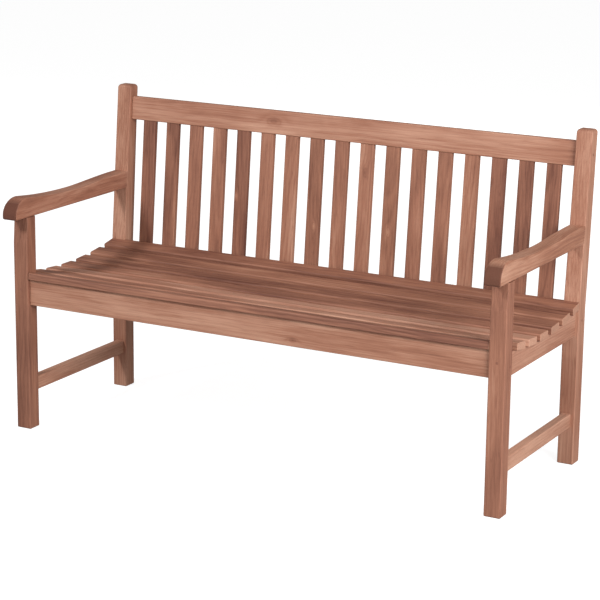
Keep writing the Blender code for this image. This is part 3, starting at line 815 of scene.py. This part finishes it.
@dataclass
class Seat:
    """The seat: front rail, centre bearer and seven slats along the dish."""

    plan: Plan
    shop: Workshop
    slats: int = 7
    gap: float = 0.0235  # between two slats, at their undersides
    top_edge: float = 0.0045
    under_edge: float = 0.0015
    rail_thickness: float = 0.024
    rail_set_back: float = 0.010
    rail_edges: tuple[float, float] = (0.00225, 0.001)  # rounding of the front rail, below and above
    bearer_edge: float = 0.001
    bearer_past: float = 0.008  # end of the bearer, behind the posts' front faces
    notch_gap: float = 0.001  # between a notch in the last slat and its post
    knots: dict[int, Knot] = field(default_factory=lambda: {1: Knot(-0.15, -0.012, 0.006)})

    def build(self) -> None:
        """Builds the seat."""
        self.front_rail()
        self.bearer()
        self.slat_boards()

    def layout(self) -> tuple[np.ndarray, float]:
        """Shares the arc from the legs' front to the rearmost slat's back among the slats and their gaps.

        Returns:
            The tilt of each slat, and the angle that each takes up at its underside.
        """
        plan = self.plan
        radius = plan.dish_radius + plan.slat_thickness
        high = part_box(f"seat_slat_{self.slats}")[1]
        axis = plan.front + plan.dish_depth
        first = math.asin((plan.front + plan.gap - axis) / radius)
        last = math.asin((high.y - axis) / radius)
        gap = self.gap / radius
        share = (last - first - gap * (self.slats - 1)) / self.slats
        return first + share / 2 + (share + gap) * np.arange(self.slats), share

    def slat_boards(self) -> None:
        """The slats: the front one between the legs, the last notched round the posts."""
        plan = self.plan
        tilts, share = self.layout()
        radius = plan.dish_radius + plan.slat_thickness
        half = radius * math.sin(share / 2)
        reach_down = radius * math.cos(share / 2)
        for number, tilt in enumerate(tilts, start=1):
            node = f"seat_slat_{number}"
            low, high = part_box(node)
            behind = np.array([0, math.cos(tilt), math.sin(tilt)])
            above = np.array([0, -math.sin(tilt), math.cos(tilt)])
            axis = np.array([0, plan.front + plan.dish_depth, plan.seat_height + plan.dish_radius])
            placing = Placing(behind, above, RIGHT, axis - above * reach_down)
            top, under = plan.slat_thickness, self.under_edge + SPARE
            corners = np.array([(-half, 0), (half, 0), (half, top), (-half, top)])
            section = outline(corners, np.array([under, under, self.top_edge, self.top_edge]))
            rows = beam(section, placing, low.x, high.x, self.under_edge)
            if number == self.slats:
                rows = self.notch(rows, behind)
            # The heart lies now before the middle of the slat and now behind it.
            pith = (0.03 * math.sin(number * 2.3), 0.05)
            cut = Cut(RIGHT, behind, pith, slope=0.012, figure=0.85, knot=self.knots.get(number))
            self.shop.board(node, rows, cut, SEAT_TEAK)

    def notch(self, rows: np.ndarray, behind: np.ndarray) -> np.ndarray:
        """Cuts the last slat's rear corners away round the posts.

        Two stations are added at each post's inner face. Outside them, every point that lies behind the
        post's front face slides forward along the slat until it meets that face.

        Args:
            rows: (s, m, 3) rows of the slat without its notches.
            behind: the direction across the slat.

        Returns:
            (s + 4, m, 3) rows.
        """
        plan = self.plan
        inner = plan.inner_half - self.notch_gap
        outer = inner + SPARE
        middle = len(rows) // 2
        shoulders = rows[[middle] * 4]
        shoulders[..., 0] = np.array([-outer, -inner, inner, outer])[:, None]
        rows = np.concatenate([rows[:middle], shoulders, rows[middle:]])
        outside = np.r_[0 : middle + 1, middle + 3 : len(rows)]
        past = np.clip(rows[outside, :, 1] - (plan.post_front - plan.gap), 0, None)
        rows[outside] -= past[..., None] * behind / behind[1]
        return rows

    def front_rail(self) -> None:
        """The front rail, its top planed to the tilt of the front slat."""
        plan = self.plan
        low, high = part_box("front_rail")
        tilt = self.layout()[0][0]
        drop = self.rail_thickness * math.tan(-tilt)
        corners = np.array([(low.y, low.z), (high.y, low.z), (high.y, high.z - drop), (low.y, high.z)])
        low_edge, high_edge = self.rail_edges
        section = outline(corners, np.array([low_edge, low_edge, high_edge, high_edge]))
        reach = plan.inner_half - plan.gap
        rows = beam(section, Placing(BACK, UP, RIGHT), -reach, reach)
        cut = Cut(RIGHT, UP, pith=(0.02, 0.07), slope=0.01, knot=Knot(0.14, -0.018, 0.008))
        self.shop.board("front_rail", rows, cut, RAIL_TEAK)

    def bearer(self) -> None:
        """The bearer under the middle of the slats."""
        plan = self.plan
        low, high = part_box("centre_bearer")
        start = plan.front + self.rail_set_back + self.rail_thickness + plan.gap
        section = plan.under_slats(start, plan.post_front + self.bearer_past, low.z)
        rows = beam(section, Placing(BACK, UP, RIGHT), low.x, high.x, self.bearer_edge)
        self.shop.board("centre_bearer", rows, Cut(BACK, UP), RAIL_TEAK)


@dataclass
class BackRest:
    """The leaning back: top rail, rear rail and the upright slats between them."""

    plan: Plan
    shop: Workshop
    slats: int = 17
    rail_thickness: float = 0.024
    rail_set_back: float = 0.011
    slat_thickness: float = 0.015
    slat_set_back: float = 0.014
    edge: float = 0.003
    slat_edge: float = 0.002
    knots: dict[int, Knot] = field(
        default_factory=lambda: {
            5: Knot(0.0, -0.014, 0.007, -0.45),
            8: Knot(-0.06, 0.006, 0.007, -0.45),
            10: Knot(0.11, -0.004, 0.010),
            11: Knot(-0.05, 0.0, 0.008, -0.40),
        }
    )

    def build(self) -> None:
        """Builds the back."""
        smudge = Knot(-0.22, 0.004, 0.015)
        head, _ = self.rail("top_rail", Cut(RIGHT, UP, pith=(0.03, 0.08), slope=0.01, knot=smudge))
        _, foot = self.rail("rear_rail", Cut(RIGHT, UP))
        self.slat_boards(foot, head)

    def rail(self, node: str, cut: Cut) -> tuple[float, float]:
        """A rail of the back.

        Args:
            node: the CAD node that it replaces.
            cut: how it was cut from its log.

        Returns:
            How far up the leaning plane its lower and upper edges are.
        """
        plan = self.plan
        low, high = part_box(node)
        front, back = self.rail_set_back, self.rail_set_back + self.rail_thickness
        # The box's lowest corner is the back edge's foot, and its highest is the front edge's top.
        bottom = (low.z - plan.knee + back * math.sin(plan.lean)) / math.cos(plan.lean)
        top = (high.z - plan.knee + front * math.sin(plan.lean)) / math.cos(plan.lean)
        corners = np.array([(front, bottom), (back, bottom), (back, top), (front, top)])
        section = outline(corners, np.full(4, self.edge))
        placing = Placing(plan.behind_back, plan.up_back, RIGHT, plan.back_origin)
        reach = plan.inner_half - plan.gap
        rows = beam(section, placing, -reach, reach)
        self.shop.board(node, rows, cut, RAIL_TEAK)
        return bottom, top

    def slat_boards(self, foot: float, head: float) -> None:
        """The upright slats, between the rear rail and the top rail.

        Args:
            foot: how far up the leaning plane they start.
            head: how far up it they end.
        """
        plan = self.plan
        front, back = self.slat_set_back, self.slat_set_back + self.slat_thickness
        for number in range(1, self.slats + 1):
            node = f"back_slat_{number:02d}"
            low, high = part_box(node)
            corners = np.array([(low.x, front), (high.x, front), (high.x, back), (low.x, back)])
            section = outline(corners, np.full(4, self.slat_edge))
            placing = Placing(RIGHT, plan.behind_back, plan.up_back, plan.back_origin)
            rows = beam(section, placing, foot + plan.gap, head - plan.gap)
            # The heart lies now to the left of the slat's middle and now to the right.
            pith = (0.04 * math.sin(number * 1.7), 0.04)
            cut = Cut(plan.up_back, RIGHT, pith, slope=0.04, figure=0.6, knot=self.knots.get(number))
            self.shop.board(node, rows, cut, BACK_TEAK)


@dataclass
class Pegs:
    """The round pegs that lock the tenons, each sanded to a soft crown that stands a hair proud."""

    shop: Workshop
    radius: float = 0.004
    proud: float = 0.0002
    rounding: float = 0.0006
    sides: int = 24
    crown_steps: int = 5

    def build(self) -> None:
        """Builds all the pegs."""
        for name, side in SIDES.items():
            low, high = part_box("front_rail_peg_" + name)
            middle = (low + high) / 2
            self.peg("front_rail_peg_" + name, np.array([middle.x, low.y, middle.z]), -BACK, high.y - low.y)
            for kind in ("side_rail_peg_", "rear_rail_peg_", "top_rail_peg_"):
                low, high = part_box(kind + name)
                middle = (low + high) / 2
                face = np.array([high.x if side > 0 else low.x, middle.y, middle.z])
                self.peg(kind + name, face, RIGHT * side, high.x - low.x)

    def peg(self, node: str, face: np.ndarray, out: np.ndarray, length: float) -> None:
        """A peg from its face inwards.

        The crown is a quarter circle of the rounding radius, and the rest is a cylinder: at angle a the
        radius is peg radius - rounding * (1 - cos a), and the height is rounding * sin a above its foot.

        Args:
            node: the CAD node that it stands for.
            face: the middle of the face that it was driven from.
            out: the level direction that it faces.
            length: how long it is.
        """
        angles = np.linspace(0, math.pi / 2, self.crown_steps)
        radii = np.concatenate([[self.radius], self.radius - self.rounding * (1 - np.cos(angles))])
        heights = np.concatenate([[-length], self.proud - self.rounding * (1 - np.sin(angles))])
        turn = np.linspace(0, 2 * math.pi, self.sides, endpoint=False)
        circle = np.stack([np.cos(turn), np.sin(turn)], axis=1)
        rows = Placing(UP, np.cross(out, UP), out, face).rows(radii[:, None, None] * circle, heights)
        self.shop.board(node, rows, Cut(out, UP, pith=(0.01, 0.02), slope=0.0, figure=0.4), PEG_TEAK)


# ---------------------------------------------------------------- the studio


@dataclass
class Studio:
    """A pale seamless floor, soft lights and the camera."""

    place: tuple[float, float, float] = (2.7321, -4.9621, 1.8648)
    azimuth: float = math.radians(28.631)
    elevation: float = math.radians(14.333)
    roll: float = math.radians(0.669)
    lens: float = 127.34
    floor_reach: float = 40.0
    floor_grey: float = 0.45
    floor_glow: float = 0.85  # as the camera sees it
    room_light: float = 0.24  # that the white surroundings shed; the camera sees them at 1
    aim: float = 0.5  # height that the lights point at

    def build(self) -> None:
        """Builds the studio."""
        scene = bpy.context.scene
        scene.view_settings.view_transform = "Standard"
        self.camera()
        self.floor()
        self.lights()

    def camera(self) -> None:
        """The camera, looking down at the bench from its right front."""
        data = bpy.data.cameras.new("camera")
        data.lens = self.lens
        camera = bpy.data.objects.new("camera", data)
        bpy.context.scene.collection.objects.link(camera)
        aimed = Matrix.Translation(self.place) @ Matrix.Rotation(self.azimuth, 4, "Z")
        aimed = aimed @ Matrix.Rotation(math.pi / 2 - self.elevation, 4, "X")
        camera.matrix_world = aimed @ Matrix.Rotation(self.roll, 4, "Z")
        bpy.context.scene.camera = camera

    def floor(self) -> None:
        """A seamless floor that glows white to the camera alone, so that it shows only faint shadows."""
        mesh = bpy.data.meshes.new("floor")
        square = np.array([(-1, -1, 0), (1, -1, 0), (1, 1, 0), (-1, 1, 0)]) * self.floor_reach
        mesh.from_pydata(square.tolist(), [], [(0, 1, 2, 3)])
        floor = bpy.data.objects.new("floor", mesh)
        bpy.context.scene.collection.objects.link(floor)
        material = bpy.data.materials.new("white_floor")
        material.use_nodes = True
        tree = material.node_tree
        surface = tree.nodes["Principled BSDF"]
        surface.inputs["Base Color"].default_value = (*[self.floor_grey] * 3, 1)
        surface.inputs["Roughness"].default_value = 0.9
        surface.inputs["Emission Color"].default_value = (1, 1, 1, 1)
        seen = add_node(tree, "LightPath").outputs["Is Camera Ray"]
        glow = add_node(tree, "Math", {0: seen, 1: self.floor_glow}, operation="MULTIPLY").outputs[0]
        tree.links.new(glow, surface.inputs["Emission Strength"])
        mesh.materials.append(material)

    def lights(self) -> None:
        """White surroundings, a large soft light at the right, a smaller one and a weak one behind.

        Each light stands at its azimuth, elevation and distance from a point over the origin.
        """
        world = bpy.data.worlds.new("white_room")
        bpy.context.scene.world = world
        world.use_nodes = True
        tree = world.node_tree
        background = tree.nodes["Background"]
        seen = add_node(tree, "LightPath").outputs["Is Camera Ray"]
        inputs = {0: seen, 1: 0.0, 2: 1.0, 3: self.room_light, 4: 1.0}
        strength = add_node(tree, "MapRange", inputs).outputs[0]
        tree.links.new(strength, background.inputs["Strength"])
        background.inputs["Color"].default_value = (1, 1, 1, 1)
        for name, azimuth, elevation, distance, size, power in (
            ("key", 62, 20, 5.0, 2.6, 235),
            ("fill", -30, 36, 5.5, 0.8, 156),
            ("back", 195, 14, 6.0, 3.0, 70),
        ):
            data = bpy.data.lights.new(name, "AREA")
            data.shape, data.size, data.energy = "SQUARE", size, power
            light = bpy.data.objects.new(name, data)
            light.visible_camera = False
            light.visible_glossy = name != "back"
            bpy.context.scene.collection.objects.link(light)
            turn, rise = math.radians(azimuth), math.radians(elevation)
            level = math.cos(rise)
            way = Vector((math.sin(turn) * level, -math.cos(turn) * level, math.sin(rise)))
            light.location = way * distance + Vector((0, 0, self.aim))
            light.rotation_euler = way.to_track_quat("Z", "Y").to_euler()


def main() -> None:
    """Builds the studio and the bench."""
    logging.basicConfig(level=logging.INFO)
    Studio().build()
    plan, shop = Plan(), Workshop()
    for part in (EndFrames(plan, shop), Seat(plan, shop), BackRest(plan, shop), Pegs(shop)):
        before = shop.count
        part.build()
        LOG.info("%s: %d boards", type(part).__name__, shop.count - before)


if __name__ == "__main__":
    main()
